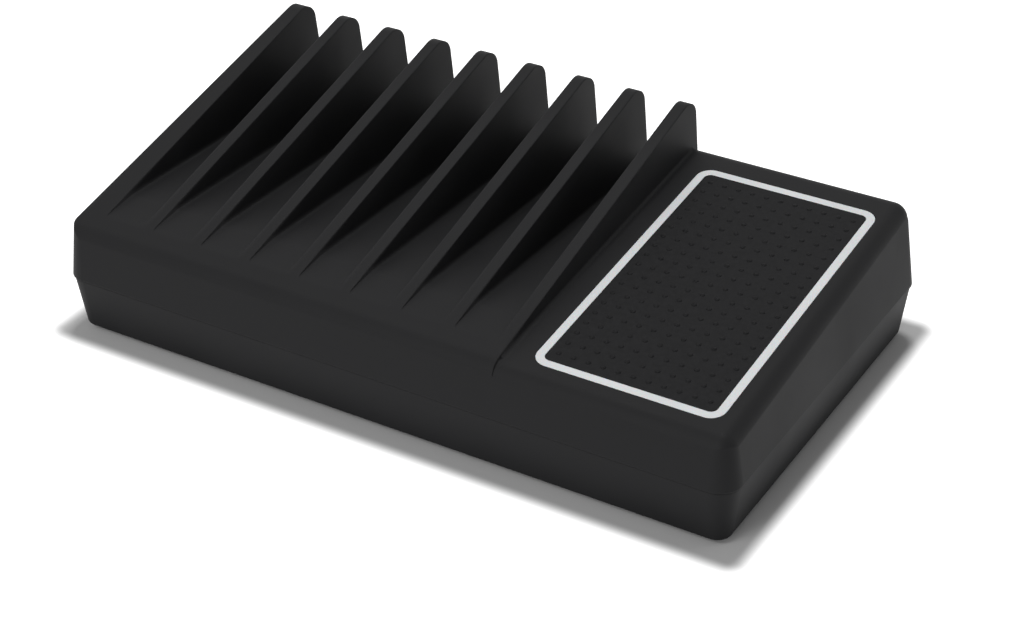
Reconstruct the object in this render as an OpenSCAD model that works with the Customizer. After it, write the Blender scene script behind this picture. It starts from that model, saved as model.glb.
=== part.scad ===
// Charging station organizer: a row of upright slots for phones and tablets, a sloped deck with
// a light ring, and a charger with a row of ports in the back of the housing.
// The origin is on the table, under the middle of the housing. +X is right, +Y back, +Z up.

/* [Housing] */
// Width at the seam, where the housing is widest
body_w = 320; // [300:1:340]
// Depth at the seam
body_d = 180; // [170:1:200]
// Height of the dividers' highest point above the table
body_h = 90; // [84:0.5:98]
// Height of the seam between the two shells
seam_z = 27.5; // [25:0.5:29]
// Lean of every outer wall from the upright, in degrees
draft = 7.4; // [6:0.1:8]
// Radius of the upright corners at the seam
corner_r = 10; // [9:0.5:13]
// Wall thickness of both shells
wall = 2.5; // [2:0.1:2.8]
// Radius of the long top edges
edge_r = 7; // [5:0.5:7.5]
// Radius of the bottom edges
base_r = 2.5; // [1:0.5:3]
// How far the lower shell stays inside the upper one at the seam
seam_step = 0.6; // [0.3:0.1:1]
// Open joint line between the two rims
seam_gap = 0.3; // [0.2:0.1:0.5]

/* [Slots] */
// Number of slots
slot_count = 8; // [6:1:8]
// Thickness of a divider
divider_t = 5.35; // [4:0.05:6]
// Width from the left side at the seam to the first slot
first_slot = 15.1; // [14:0.1:18]
// Radius of the dividers' top back corners
divider_r = 9; // [6:0.5:10]
// Height of the housing's top in front of the slots, where the dividers begin
lip_z = 53.2; // [52:0.1:54]
// Fall of the slot floors from the crest to the back, in degrees
slot_fall = 2; // [1:0.1:3]
// Length of the short front ramp of the slot floors, up to their crest
ramp_l = 19; // [14:1:24]
// Rise of that ramp, in degrees
ramp_rise = 6.3; // [5:0.1:8]
// Distance of the slots' front ends from the front of the housing
slot_front = 13; // [11:1:16]
// Radius of the hollow fillet along the foot of the last divider
foot_r = 1.5; // [0.8:0.1:2]

/* [Deck] */
// Width from the last divider to the right side at the seam
deck_w = 104.5; // [100:0.5:110]
// Height of the deck above the table at the middle of its depth
deck_z = 58.3; // [56:0.1:60]
// Slope of the deck, in degrees
deck_slope = 5.4; // [4.5:0.1:6.5]
// Thickness of the deck plate
deck_t = 4.2; // [4:0.1:5]
// Width of the light ring over its outside
ring_w = 81.5; // [70:0.5:83]
// Distance from the ring's ends to the front and back of the housing at the seam, on average
ring_end = 16.1; // [15:0.1:24]
// Width of the ring's pale rim
ring_rim = 3.6; // [3:0.1:5]
// Outer corner radius of the ring
ring_r = 6.6; // [5:0.2:9]
// Gap from the last divider to the ring
ring_gap = 10.7; // [9:0.1:12]
// Shift of the ring from the middle of the depth, towards the front
ring_shift = 3.8; // [2:0.1:5]
// Thickness of the tray that carries the ring, under the mat
tray_t = 1.2; // [1:0.1:1.4]
// Thickness of the deck mat
mat_t = 1.2; // [1:0.1:1.5]
// Width of the ledge that the tray rests on
ledge_w = 10; // [9:0.5:12]

/* [Back panel] */
// Number of charging ports
port_count = 10; // [8:1:10]
// Height of the middle of the panel above the table
panel_z = 39.25; // [38.5:0.25:40]
// Height of the recessed panel
panel_h = 16.5; // [16:0.25:17]
// Depth of the panel's face behind the housing's deepest point
panel_in = 3.8; // [3.4:0.1:4.2]
// Distance from the right side at the seam to the middle of the mains inlet
inlet_in = 27; // [26.5:0.5:28]
// Distance from the mains inlet to the mains switch
switch_pitch = 24; // [23.5:0.5:25]
// Travel of the rocker between its two positions, in degrees
rocker_travel = 18; // [12:1:20]

/* [Boards] */
// Thickness of the circuit boards
board_t = 1.6; // [1:0.2:2]
// Height of the power board's underside above the table
power_board_z = 10; // [8:0.5:12]
// Width of the power board
power_board_w = 88; // [84:1:90]
// Distance from the power board's ends to the front and back of the housing, on average
power_board_end = 26; // [26:0.5:30]
// Depth of the port board
port_board_d = 25; // [20:1:27]

/* [Feet and screws] */
// Height of the rubber feet below the lower shell
foot_h = 2; // [1.5:0.5:3]
// Radius of the rubber feet
foot_radius = 8; // [6:0.5:9]
// Shank radius of the housing screws
screw_r = 1.4; // [1.2:0.1:1.6]
// Shank radius of the board screws
board_screw_r = 1.1; // [0.9:0.1:1.3]

/* [Hidden] */

round_fn = 72;
eps = 0.01;
fit = 0.15;                 // play round a piece that drops into a pocket
lean = tan(draft);
proud = 0.06;               // a rounded top edge stands this far proud of its wall, which then trims it
tuck = 0.04;                // the skirt below a rounded edge starts this far inside its arc
flare = 8;                  // how much more than the wall the skirt below a rounded edge leans, in degrees
core_depth = 68;            // depth of a rounded block, enough to pass the seam

// Outside of a port
usb_w = 13.1;
usb_h = 5.7;
usb_d = 14;

// Heights
rim_z = seam_z - seam_gap;
floor_z = foot_h + wall;
board_top = panel_z - usb_h / 2;
power_top = power_board_z + board_t;

// Places across the width
deck_left = body_w / 2 - deck_w;
pitch = (body_w - first_slot - deck_w) / slot_count;
slot_w = pitch - divider_t;
ring_x = deck_left + ring_gap + ring_w / 2;

// Places through the depth
panel_y = body_d / 2 - panel_in;
panel_back = panel_y - wall;         // inner face of the panel's wall
panel_left = slot_x(1) - slot_w / 2 - 3;
panel_right = body_w / 2 - 12;
ring_l = body_d - 2 * ring_end;
power_board_l = body_d - 2 * power_board_end;

// Middle of slot i, counted from the left
function slot_x(i) = deck_left - (slot_count - i + 1) * pitch + slot_w / 2;

// Middle of port i: the first is behind the first slot, the last stands clear of the switch
inlet_x = body_w / 2 - inlet_in;
switch_x = inlet_x - switch_pitch;
last_port_x = switch_x - 18.6;
function port_x(i) = slot_x(1) + (i - 1) / (port_count - 1) * (last_port_x - slot_x(1));

// Rounded to hundredths, so that faces laid out from different corners meet exactly
function round_off(v) = round(100 * v) / 100;

// Reach of a wall at height z, for a wall that stands at `reach` at the seam
function upper_reach(reach, z) = reach - round_off((z - seam_z) * lean);
function lower_reach(reach, z) = reach - round_off((rim_z - z) * lean);

// A sloped top plane passes height plane_z over the middle and rises by `slope` to the back.
// These give the axis of an edge of radius r that touches that plane and an outer wall,
// in the plane's own frame. side is -1 for the front and 1 for the back.
function edge_y(side, plane_z, slope, r) =
    side * (proud + (body_d / 2 * cos(draft) - (plane_z - seam_z) * sin(draft)
        - r * (1 - sin(draft - side * slope))) / cos(draft - side * slope));
function edge_x(y, plane_z, slope, r) =
    body_w / 2 + proud - r / cos(draft) - (plane_z + y * sin(slope) - r * cos(slope) - seam_z) * lean;

// The dividers' top plane rises from the lip, and touches the circle that rounds their back
// corners at height body_h. Its slope is rounded to tenths of a degree.
lip_y = -body_d / 2 + slot_front;
divider_arc_z = body_h - divider_r;
divider_arc_y = upper_reach(body_d / 2, divider_arc_z) - divider_r / cos(draft);
divider_run = [divider_arc_y - lip_y, divider_arc_z - lip_z];
divider_aim = atan2(divider_run[1], divider_run[0]) + asin(divider_r / norm(divider_run));
divider_slope = round(10 * divider_aim) / 10;
divider_plane_z = divider_arc_z + divider_r / cos(divider_slope) - divider_arc_y * tan(divider_slope);

// The slot floors rise from just above the lip to their crest
crest_y = lip_y + ramp_l;
slot_floor_z = round_off(lip_z + 0.2 + ramp_l * tan(ramp_rise));

// Places of the screws that join the shells
housing_screw_places = concat(
    [for (x = [-1, 1], y = [-1, 1]) [x * (body_w / 2 - 11.4), y * (body_d / 2 - 13.6)]],
    [for (x = [-1, 1]) [x * (deck_left - 5.5), 0]]);
housing_boss_r = 4;
head_seat_z = 12;           // seat of the housing screws' heads in the lower shell
screw_bite = 10;            // length of a housing screw inside the upper shell

// The power board stands under the deck, clear of the posts behind it
power_x = deck_left + 50;
power_y = -5;
power_screw_places = [for (x = [-1, 1], y = [-1, 1])
    [power_x + x * (power_board_w / 2 - 6), power_y + y * (power_board_l / 2 - 6)]];

power_layout = [88, 128];
transformer_size = [34, 30, 26];
transformer_leg = 11;       // width of the core's middle leg
transformer_yoke = 5;       // height of the core above and below the coil

// The port board stands behind the panel, its screws between the ports
port_board_back = panel_back - 0.5;
port_board_left = port_x(1) - 9;
port_board_right = port_x(port_count) + 9;
port_screw_places = [for (i = [1:2:port_count - 1])
    [(port_x(i) + port_x(i + 1)) / 2, port_board_back - port_board_d + 5]];

// The light board hangs under the window in the deck
light_board_t = 1.2;
light_boss_h = 1.4;
window_w = ring_w - 2 * ledge_w;
window_l = ring_l - 2 * ledge_w;
light_screw_places = [for (x = [-1, 1], y = [-1, 1])
    [ring_x + x * (window_w / 2 + 3.4), -ring_shift + y * window_l / 3]];

// Switch and inlet
switch_opening = [15, 9.8];
rocker_r = 7.2;             // radius of the rocker's curved ends about its pivot
rocker_h = 9.2;
pivot_depth = 1.2;          // the pivot's distance inside the panel's face
pivot_r = 1.2;
pin_spacing = 8.6;
inlet_flange = 1.5;

foot_x = body_w / 2 - 22;
foot_y = body_d / 2 - 20;
foot_seat = 0.6;            // depth of the feet's recess in the lower shell

// Rectangle with round corners, centred
module round_rect(w, l, r) {
    square([w - 2 * r, l], center = true);
    square([w, l - 2 * r], center = true);
    for (x = [-1, 1], y = [-1, 1])
        translate([x * (w / 2 - r), y * (l / 2 - r)])
            circle(r, $fn = round_fn);
}

// Block with leaning walls and round upright corners between heights z0 and z1.
// The children draw half of its upright section, out to the reach in $reach.
module leaning_block(w, d, r) {
    rotate([90, 0, 0])
        linear_extrude(d - 2 * r, center = true)
            both_sides() let ($reach = w / 2) children();
    rotate([90, 0, 90])
        linear_extrude(w - 2 * r, center = true)
            both_sides() let ($reach = d / 2) children();
    for (x = [-1, 1], y = [-1, 1])
        translate([x * (w / 2 - r), y * (d / 2 - r), 0])
            rotate_extrude($fn = round_fn)
                let ($reach = r) children();
}

module both_sides() {
    children();
    mirror([1, 0]) children();
}

// Half section of the upper shell's walls, which lean in towards the top
module upper_section(z0, z1) {
    polygon([[0, z0], [upper_reach($reach, z0), z0], [upper_reach($reach, z1), z1], [0, z1]]);
}

// Half section of the lower shell's walls, with a round bottom edge of radius r.
// The arc crosses the bottom and the wall at a slight angle.
module lower_section(z0, z1, r) {
    bottom = lower_reach($reach, z0);
    difference() {
        polygon([[0, z0], [bottom, z0], [lower_reach($reach, z1), z1], [0, z1]]);
        if (r > 0)
            translate([bottom + round_off(r * lean - r / cos(draft) + proud), z0 + r - proud / 2])
                difference() {
                    translate([0, -2 * r]) square([2 * r, 2 * r]);
                    circle(r, $fn = round_fn);
                }
    }
}

// Section across a rounded top edge that meets its wall at the angle `turn` above level:
// the arc on the edge's axis and the skirt below it down to `depth`, both with x from 0 up
module edge_section(r, turn, depth) {
    start = [(r - tuck) * cos(turn), (r - tuck) * sin(turn) - r];
    end = [start[0] + (depth + start[1]) * tan(turn + flare), -depth];
    intersection() {
        translate([0, -r]) circle(r, $fn = round_fn);
        translate([0, -2 * r]) square([r, 2 * r]);
    }
    polygon([[0, -r], start, end, [0, end[1]]]);
}

// The same section as a bar of length l, its arc towards x (side = 1) or towards -x (side = -1),
// with a strip behind it that overlaps the block's core
module edge_bar(l, r, turn, depth, side) {
    strip = 3;
    linear_extrude(l)
        mirror([1 - side, 0]) edge_section(r, turn, depth);
    linear_extrude(l)
        mirror([1 - side, 0])
            translate([-strip, -depth]) square([strip, depth]);
}

// Turn of the edge section round a corner, from the right edge on
module edge_corner(turn, depth) {
    rotate_extrude(angle = turn, $fn = round_fn) edge_section(edge_r, draft, depth);
}

// Frame of a sloped plane: local z is square to it
module on_slope(plane_z, slope) {
    translate([0, 0, plane_z])
        rotate([slope, 0, 0])
            children();
}

// The top of the deck's body, open to the left, with round front, right and back edges and ball corners.
// Its edges are laid out from the front right corner in round numbers, so that they meet exactly.
module deck_top() {
    depth = edge_r + 4;
    front = edge_y(-1, deck_z, deck_slope, edge_r);
    back = edge_y(1, deck_z, deck_slope, edge_r);
    corners = [for (y = [front, back]) [round_off(edge_x(y, deck_z, deck_slope, edge_r)), round_off(y)]];
    left = round(deck_left - 2);
    side = corners[1] - corners[0];
    side_l = round_off(norm(side));
    // Turn of the right edge, which follows its wall
    aim = acos(round(1e6 * side[1] / norm(side)) / 1e6);
    // Turn of a corner's sweep, to beyond the edge that cuts it off
    past = 100;
    far = 2 * depth;
    on_slope(deck_z, deck_slope) {
        translate(corners[0]) {
            translate([left - corners[0][0], 0, 0])
                rotate([90, 0, 90])
                    edge_bar(corners[0][0] - left, edge_r, draft, depth, -1);
            intersection() {
                rotate([0, 0, aim]) edge_corner(-past, depth);
                translate([0, -far, -far]) cube(2 * far);
            }
            rotate([0, 0, aim])
                translate([0, side_l, 0]) {
                    rotate([90, 0, 0])
                        edge_bar(side_l, edge_r, draft, depth, 1);
                    intersection() {
                        edge_corner(past, depth);
                        rotate([0, 0, -aim])
                            translate([0, -far, -far]) cube(2 * far);
                    }
                    rotate([0, 0, -aim])
                        translate([left - corners[0][0], 0, 0])
                            rotate([90, 0, 90])
                                edge_bar(corners[0][0] - left, edge_r, draft, depth, 1);
                }
        }
        translate([0, 0, -depth])
            linear_extrude(depth)
                polygon([[left, front + 1], corners[0] + [-1, 1], corners[1] - [1, 1], [left, back - 1]]);
    }
}

// The deck's body below its rounded edges, out past the walls
module deck_base() {
    left = round(deck_left - 2);
    on_slope(deck_z, deck_slope)
        translate([left, -body_d, -core_depth])
            cube([body_w, 2 * body_d, core_depth - edge_r - 2]);
}

// The dividers and the lip in front of them as one block, before the slots are cut
module divider_block() {
    front = edge_y(-1, divider_plane_z, divider_slope, edge_r);
    back = edge_y(1, divider_plane_z, divider_slope, divider_r);
    left = -body_w / 2 - 5;
    on_slope(divider_plane_z, divider_slope)
        translate([left, 0, 0])
            rotate([90, 0, 90]) {
                linear_extrude(deck_left - left)
                    translate([back, 0]) edge_section(divider_r, draft - divider_slope, core_depth);
                linear_extrude(deck_left - left)
                    translate([front, 0])
                        mirror([1, 0]) edge_section(edge_r, draft + divider_slope, core_depth);
                linear_extrude(deck_left - left)
                    polygon([[front, 0], [back, 0], [back, -core_depth], [front, -core_depth]]);
            }
}

// Hollow fillet between the last divider and the deck
module deck_fillet() {
    sink = 0.02;
    on_slope(deck_z, deck_slope)
        translate([deck_left - sink, 0, -sink])
            rotate([90, 0, 0])
                linear_extrude(body_d - 2 * edge_r - 4, center = true)
                    difference() {
                        translate([0, -foot_r]) square([foot_r, 2 * foot_r]);
                        translate([foot_r, foot_r]) circle(foot_r, $fn = round_fn);
                    }
}

// What stays of the children inside the upper shell's leaning walls
module within_walls() {
    intersection() {
        leaning_block(body_w, body_d, corner_r) upper_section(seam_z, body_h + 1);
        children();
    }
}

module upper_outside() {
    within_walls() deck_top();
    within_walls() deck_base();
    within_walls() divider_block();
    deck_fillet();
}

// Underside of the roof at depth y, below the slots and below the deck
function floor_height(y) = slot_floor_z - abs(y - crest_y) * tan(y > crest_y ? slot_fall : ramp_rise);
function slot_roof(y) = floor_height(y) - wall;
function deck_roof(y) = deck_z + y * tan(deck_slope) - deck_t / cos(deck_slope);
function roof(x, y) = x > deck_left ? deck_roof(y) : slot_roof(y);

// Space inside the upper shell, less the thick wall that carries the recessed panel
module upper_hollow() {
    front = -body_d / 2;
    roof_top = deck_roof(-front) + 1;
    panel_wall_h = panel_h + 3;
    difference() {
        intersection() {
            leaning_block(body_w - 2 * wall, body_d - 2 * wall, corner_r - wall)
                upper_section(seam_z - 1, roof_top);
            union() {
                roof_space(deck_left - wall, body_w / 2,
                    [[front, deck_roof(front)], [-front, deck_roof(-front)]]);
                roof_space(-body_w / 2, deck_left - wall,
                    [[front, slot_roof(lip_y) - slot_front], [lip_y, slot_roof(lip_y)],
                    [crest_y, slot_roof(crest_y)], [-front, slot_roof(-front)]]);
            }
        }
        translate([panel_left - wall, panel_back, panel_z - panel_h / 2 - 1.2])
            cube([panel_right - panel_left + 2 * wall, body_d, panel_wall_h]);
    }
}

// Everything between x0 and x1 below a line of points [y, z]
module roof_space(x0, x1, points) {
    translate([x0, 0, 0])
        rotate([90, 0, 90])
            linear_extrude(x1 - x0)
                polygon(concat([[body_d / 2, 0], [-body_d / 2, 0]], points));
}

// One slot: a short ramp up from the front with round corners, then the floor down to the back
module slot_cut() {
    end_r = 4;
    start = lip_y - 1;
    reach = body_d;
    intersection() {
        rotate([90, 0, 90])
            linear_extrude(slot_w + 2, center = true)
                polygon([[start, floor_height(start)], [crest_y, slot_floor_z],
                    [reach, floor_height(reach)], [reach, 2 * body_h], [start, 2 * body_h]]);
        translate([0, lip_y + reach, 0])
            linear_extrude(3 * body_h) round_rect(slot_w, 2 * reach, end_r);
    }
}

// Window and recess in the deck for the light tray
module deck_pocket() {
    on_slope(deck_z, deck_slope)
        translate([ring_x, -ring_shift, 0]) {
            translate([0, 0, -tray_t - mat_t])
                linear_extrude(2 * body_h) round_rect(ring_w + 2 * fit, ring_l + 2 * fit, ring_r + fit);
            translate([0, 0, -2 * deck_t])
                linear_extrude(2 * body_h) round_rect(window_w, window_l, ring_r);
        }
}

// Recess and openings in the back wall
module panel_cuts() {
    translate([(panel_left + panel_right) / 2, panel_y, panel_z])
        rotate([-90, 0, 0])
            linear_extrude(body_d) round_rect(panel_right - panel_left, panel_h, 2);
    for (i = [1:port_count])
        panel_hole(port_x(i), usb_w + 2 * fit, usb_h + 2 * fit, 0.8);
    panel_hole(inlet_x, 20 + 2 * fit, 12 + 2 * fit, 2);
    panel_hole(switch_x, 18.8 + 2 * fit, 12.8 + 2 * fit, 1);
}

module panel_hole(x, w, h, r) {
    translate([x, panel_back - 1, panel_z])
        rotate([-90, 0, 0])
            linear_extrude(body_d) round_rect(w, h, r);
}

// Bosses in the upper shell for the housing screws, up into the roof
module upper_bosses() {
    for (p = housing_screw_places)
        translate([p[0], p[1], rim_z])
            cylinder(h = roof(p[0], p[1]) + 1.3 - rim_z, r = housing_boss_r, $fn = round_fn);
}

module light_bosses() {
    on_slope(deck_z, deck_slope)
        for (p = light_screw_places)
            translate([p[0], p[1], -deck_t - light_boss_h])
                cylinder(h = light_boss_h + 1, r = 2.4, $fn = round_fn);
}

// Soft black moulding with the dividers, the slots and the deck in one piece
module upper_shell() {
    color("#2b2b2c")
        difference() {
            union() {
                difference() {
                    upper_outside();
                    upper_hollow();
                }
                upper_bosses();
                light_bosses();
            }
            for (i = [1:slot_count])
                translate([slot_x(i), 0, 0]) slot_cut();
            deck_pocket();
            panel_cuts();
            for (p = housing_screw_places)
                translate([p[0], p[1], rim_z - 1])
                    cylinder(h = screw_bite + 2, r = screw_r + 0.05, $fn = round_fn);
            on_slope(deck_z, deck_slope)
                for (p = light_screw_places)
                    translate([p[0], p[1], -deck_t - light_boss_h - 1])
                        cylinder(h = light_boss_h + 2, r = board_screw_r + 0.05, $fn = round_fn);
        }
}

// Lower shell with its lip, bosses, board posts and vents
module lower_shell() {
    color("#262627")
        difference() {
            union() {
                difference() {
                    leaning_block(body_w - 2 * seam_step, body_d - 2 * seam_step, corner_r - seam_step)
                        lower_section(foot_h, rim_z, base_r);
                    leaning_block(body_w - 2 * (seam_step + wall), body_d - 2 * (seam_step + wall),
                        corner_r - seam_step - wall)
                        lower_section(floor_z, rim_z + 1, 0);
                }
                seam_lip();
                for (p = housing_screw_places)
                    translate([p[0], p[1], floor_z - eps])
                        cylinder(h = rim_z - floor_z + eps, r = housing_boss_r + 1, $fn = round_fn);
                for (p = power_screw_places)
                    translate([p[0], p[1], floor_z - eps])
                        cylinder(h = power_board_z - floor_z + eps, r = 3.2, $fn = round_fn);
                for (p = port_screw_places)
                    translate([p[0], p[1], floor_z - eps])
                        cylinder(h = board_top - board_t - floor_z + eps, r = 3.2, $fn = round_fn);
            }
            for (p = housing_screw_places)
                translate([p[0], p[1], 0]) {
                    cylinder(h = head_seat_z, r = 3.4, $fn = round_fn);
                    cylinder(h = body_h, r = screw_r + 0.3, $fn = round_fn);
                }
            for (p = power_screw_places)
                translate([p[0], p[1], floor_z + 0.5])
                    cylinder(h = body_h, r = board_screw_r + 0.05, $fn = round_fn);
            for (p = port_screw_places)
                translate([p[0], p[1], board_top - board_t - 7])
                    cylinder(h = body_h, r = board_screw_r + 0.05, $fn = round_fn);
            for (x = [-1, 1], y = [-1, 1])
                translate([x * foot_x, y * foot_y, 0])
                    cylinder(h = foot_h + foot_seat, r = foot_radius + fit, $fn = round_fn);
            vents();
        }
}

// Lip that stands up inside the upper shell's wall
module seam_lip() {
    lip_out = wall + 0.5;
    lip_t = 1.2;
    translate([0, 0, rim_z - 4])
        linear_extrude(6.2)
            difference() {
                round_rect(body_w - 2 * lip_out, body_d - 2 * lip_out, corner_r - lip_out);
                round_rect(body_w - 2 * (lip_out + lip_t), body_d - 2 * (lip_out + lip_t),
                    corner_r - lip_out - lip_t);
            }
}

// Two rows of vents under the power board
module vents() {
    vent_w = 2.4;
    vent_l = 34;
    vent_pitch = 6;
    for (row = [-1, 1], i = [-6:6])
        translate([power_x + i * vent_pitch, power_y + row * 24, 0])
            linear_extrude(floor_z + 1) round_rect(vent_w, vent_l, vent_w / 2 - eps);
}

// Pale translucent tray; only its rim shows, as the light ring
module light_ring() {
    color("#e4e6e8")
        on_slope(deck_z, deck_slope)
            translate([ring_x, -ring_shift, -tray_t - mat_t])
                difference() {
                    linear_extrude(tray_t + mat_t) round_rect(ring_w, ring_l, ring_r);
                    translate([0, 0, tray_t])
                        linear_extrude(2 * mat_t)
                            round_rect(ring_w - 2 * ring_rim, ring_l - 2 * ring_rim, ring_r - ring_rim);
                }
}

// Soft mat inside the ring
module deck_mat() {
    w = ring_w - 2 * ring_rim - fit;
    l = ring_l - 2 * ring_rim - fit;
    color("#333335")
        on_slope(deck_z, deck_slope)
            translate([ring_x, -ring_shift, -mat_t])
                linear_extrude(mat_t) round_rect(w, l, ring_r - ring_rim - fit / 2);
}

// Frame-shaped board under the window
module light_board() {
    color("#f0f0ea")
        on_slope(deck_z, deck_slope)
            translate([0, 0, -deck_t - light_boss_h - light_board_t])
                linear_extrude(light_board_t)
                    difference() {
                        translate([ring_x, -ring_shift]) round_rect(window_w + 13, window_l + 12, 3);
                        translate([ring_x, -ring_shift]) round_rect(window_w - 12, window_l - 12, 3);
                        for (p = light_screw_places)
                            translate(p) circle(board_screw_r + 0.2, $fn = round_fn);
                    }
}

// Small lamps on the light board, along the window's edges
module lamps() {
    across = window_w / 2 - 3;
    along = window_l / 2 - 3;
    places = concat(
        [for (side = [-1, 1], i = [-3:3]) [side * across, i * along / 4]],
        [for (side = [-1, 1], i = [-1:1]) [i * across / 2, side * along]]);
    color("#f6eeb4")
        on_slope(deck_z, deck_slope)
            for (p = places)
                translate([ring_x + p[0], p[1] - ring_shift, -deck_t - light_boss_h + 0.4])
                    cube([2.8, 2.8, 0.8], center = true);
}

// Screw with its head's seat at z = 0 and its shank along -z
module board_screw(shank) {
    cylinder(h = 1.6, r = 2 * board_screw_r, $fn = round_fn);
    translate([0, 0, -shank])
        cylinder(h = shank + eps, r = board_screw_r, $fn = round_fn);
}

module light_board_screws() {
    color("#a8abae")
        on_slope(deck_z, deck_slope)
            for (p = light_screw_places)
                translate([p[0], p[1], -deck_t - light_boss_h - light_board_t])
                    mirror([0, 0, 1]) board_screw(light_board_t + light_boss_h + 0.6);
}

module port_board_screws() {
    color("#a8abae")
        for (p = port_screw_places)
            translate([p[0], p[1], board_top]) board_screw(board_t + 6);
}

module power_board_screws() {
    color("#a8abae")
        for (p = power_screw_places)
            translate([p[0], p[1], power_top]) board_screw(board_t + 4);
}

// Screws that hold the shells together, heads in the lower shell's wells
module housing_screws() {
    head_h = 2.2;
    color("#8e9194")
        for (p = housing_screw_places)
            translate([p[0], p[1], head_seat_z])
                difference() {
                    union() {
                        translate([0, 0, -head_h])
                            cylinder(h = head_h, r = 3, $fn = round_fn);
                        cylinder(h = rim_z - head_seat_z + screw_bite, r = screw_r, $fn = round_fn);
                    }
                    for (angle = [0, 90])
                        rotate([0, 0, angle])
                            translate([0, 0, -head_h])
                                cube([3.4, 0.8, 2], center = true);
                }
}

// Rubber foot with a rounded bottom edge
module foot(x, y) {
    tip_r = 0.8;
    color("#1c1c1c")
        translate([x * foot_x, y * foot_y, 0])
            rotate_extrude($fn = round_fn) {
                translate([foot_radius - tip_r, tip_r])
                    intersection() {
                        circle(tip_r, $fn = round_fn);
                        translate([0, -tip_r]) square([tip_r, tip_r]);
                    }
                square([foot_radius - tip_r, foot_h + foot_seat]);
                translate([0, tip_r]) square([foot_radius, foot_h + foot_seat - tip_r]);
            }
}

// Metal shell of a port, open to the back
module usb_port(i) {
    sheet = 0.35;
    color("#b9bcc0")
        translate([port_x(i), panel_y, panel_z])
            rotate([90, 0, 0])
                difference() {
                    linear_extrude(usb_d) round_rect(usb_w, usb_h, 0.6);
                    translate([0, 0, -1])
                        linear_extrude(usb_d - 3)
                            round_rect(usb_w - 2 * sheet, usb_h - 2 * sheet, 0.3);
                    for (x = [-1, 1])
                        translate([x * 3.2, usb_h / 2, 5])
                            cube([1.6, 2, 3], center = true);
                }
}

// Contact tongue inside a port
module usb_tongue(i) {
    tongue_w = 11.1;
    tongue_t = 1.9;
    tongue_l = 9;
    color("#3f4246")
        translate([port_x(i) - tongue_w / 2, panel_y - usb_d + 4, panel_z + 0.2])
            cube([tongue_w, tongue_l, tongue_t]);
}

// Board that carries the ports
module port_board() {
    color("#1f5b38")
        translate([0, 0, board_top - board_t])
            linear_extrude(board_t)
                difference() {
                    translate([port_board_left, port_board_back - port_board_d])
                        square([port_board_right - port_board_left, port_board_d]);
                    for (p = port_screw_places)
                        translate(p) circle(board_screw_r + 0.2, $fn = round_fn);
                }
}

// Charge control chips, one to each pair of ports
module charge_chips() {
    color("#1a1a1c")
        for (i = [1:2:port_count - 1])
            translate([port_x(i) - 2.5, port_board_back - port_board_d + 2, board_top])
                cube([5, 4.4, 1.4]);
}

module power_board() {
    color("#8a6a33")
        translate([0, 0, power_board_z])
            linear_extrude(board_t)
                difference() {
                    translate([power_x, power_y]) round_rect(power_board_w, power_board_l, 1.5);
                    for (p = power_screw_places)
                        translate(p) circle(board_screw_r + 0.2, $fn = round_fn);
                }
}

// Stands on the power board. x and y are places from the middle of a board of size power_layout;
// on another board they move with its ends.
module on_power_board(x, y) {
    translate([power_x + x * power_board_w / power_layout[0], power_y + y * power_board_l / power_layout[1],
        power_top])
        children();
}

// Two-window ferrite core
module transformer_core() {
    window = (transformer_size[0] - 2 * transformer_yoke - transformer_leg) / 2;
    color("#3a3a3d")
        on_power_board(-13, 0)
            rotate([90, 0, 0])
                linear_extrude(transformer_leg, center = true)
                    difference() {
                        translate([-transformer_size[0] / 2, 0])
                            square([transformer_size[0], transformer_size[2]]);
                        for (x = [-1, 1])
                            translate([x * (transformer_leg + window) / 2, transformer_size[2] / 2])
                                square([window, transformer_size[2] - 2 * transformer_yoke], center = true);
                    }
}

// Taped coil round the core's middle leg
module transformer_coil() {
    gap = 0.3;
    window = (transformer_size[0] - 2 * transformer_yoke - transformer_leg) / 2;
    coil_h = transformer_size[2] - 2 * transformer_yoke - 2 * gap;
    color("#c9a63a")
        on_power_board(-13, 0)
            translate([0, 0, transformer_yoke + gap])
                linear_extrude(coil_h)
                    difference() {
                        round_rect(transformer_leg + 2 * window - 2 * gap, transformer_size[1], 5);
                        square([transformer_leg + 2 * gap, transformer_leg + 2 * gap], center = true);
                    }
}

// Standing capacitor can with a rolled groove near its foot
module can_capacitor(r, h) {
    groove = 0.5;
    difference() {
        cylinder(h = h, r = r, $fn = round_fn);
        translate([0, 0, 3])
            rotate_extrude($fn = round_fn)
                translate([r, 0]) circle(groove, $fn = 24);
    }
}

module bulk_capacitor(i) {
    color("#2a3350")
        on_power_board(28, -22 + 20 * i) can_capacitor(8.5, 28);
}

// Low output capacitors in a row at the front
module output_capacitors() {
    color("#38403c")
        for (i = [0:3])
            on_power_board(-26 + 12 * i, -50) can_capacitor(5, 18);
}

// Ring core with its two windings, lying on the board
module mains_choke() {
    ring = 7;
    color("#b5702c")
        on_power_board(28, 42)
            translate([0, 0, 5])
                rotate_extrude($fn = round_fn)
                    translate([ring, 0]) round_rect(7, 9.9, 2);
}

module filter_capacitor() {
    color("#d9b23a")
        on_power_board(4, 46)
            linear_extrude(14) round_rect(18, 8, 0.8);
}

module bridge_rectifier() {
    color("#1d1d1f")
        on_power_board(4, 30)
            linear_extrude(16) round_rect(20, 4.6, 0.5);
}

module fuse() {
    color("#c8cdd2")
        on_power_board(-18, 48)
            translate([0, 0, 3.1])
                rotate([0, 90, 0])
                    cylinder(h = 20, r = 3.1, center = true, $fn = round_fn);
}

// Upright heat sink plate with fins on one side
module heat_sink(l, h, fins) {
    plate = 2.5;
    fin_l = 6;
    fin_t = 1.5;
    linear_extrude(h) {
        square([plate, l], center = true);
        for (i = [0:fins - 1])
            translate([0, (i / (fins - 1) - 0.5) * (l - fin_t) - fin_t / 2])
                square([plate / 2 + fin_l, fin_t]);
    }
}

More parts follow.
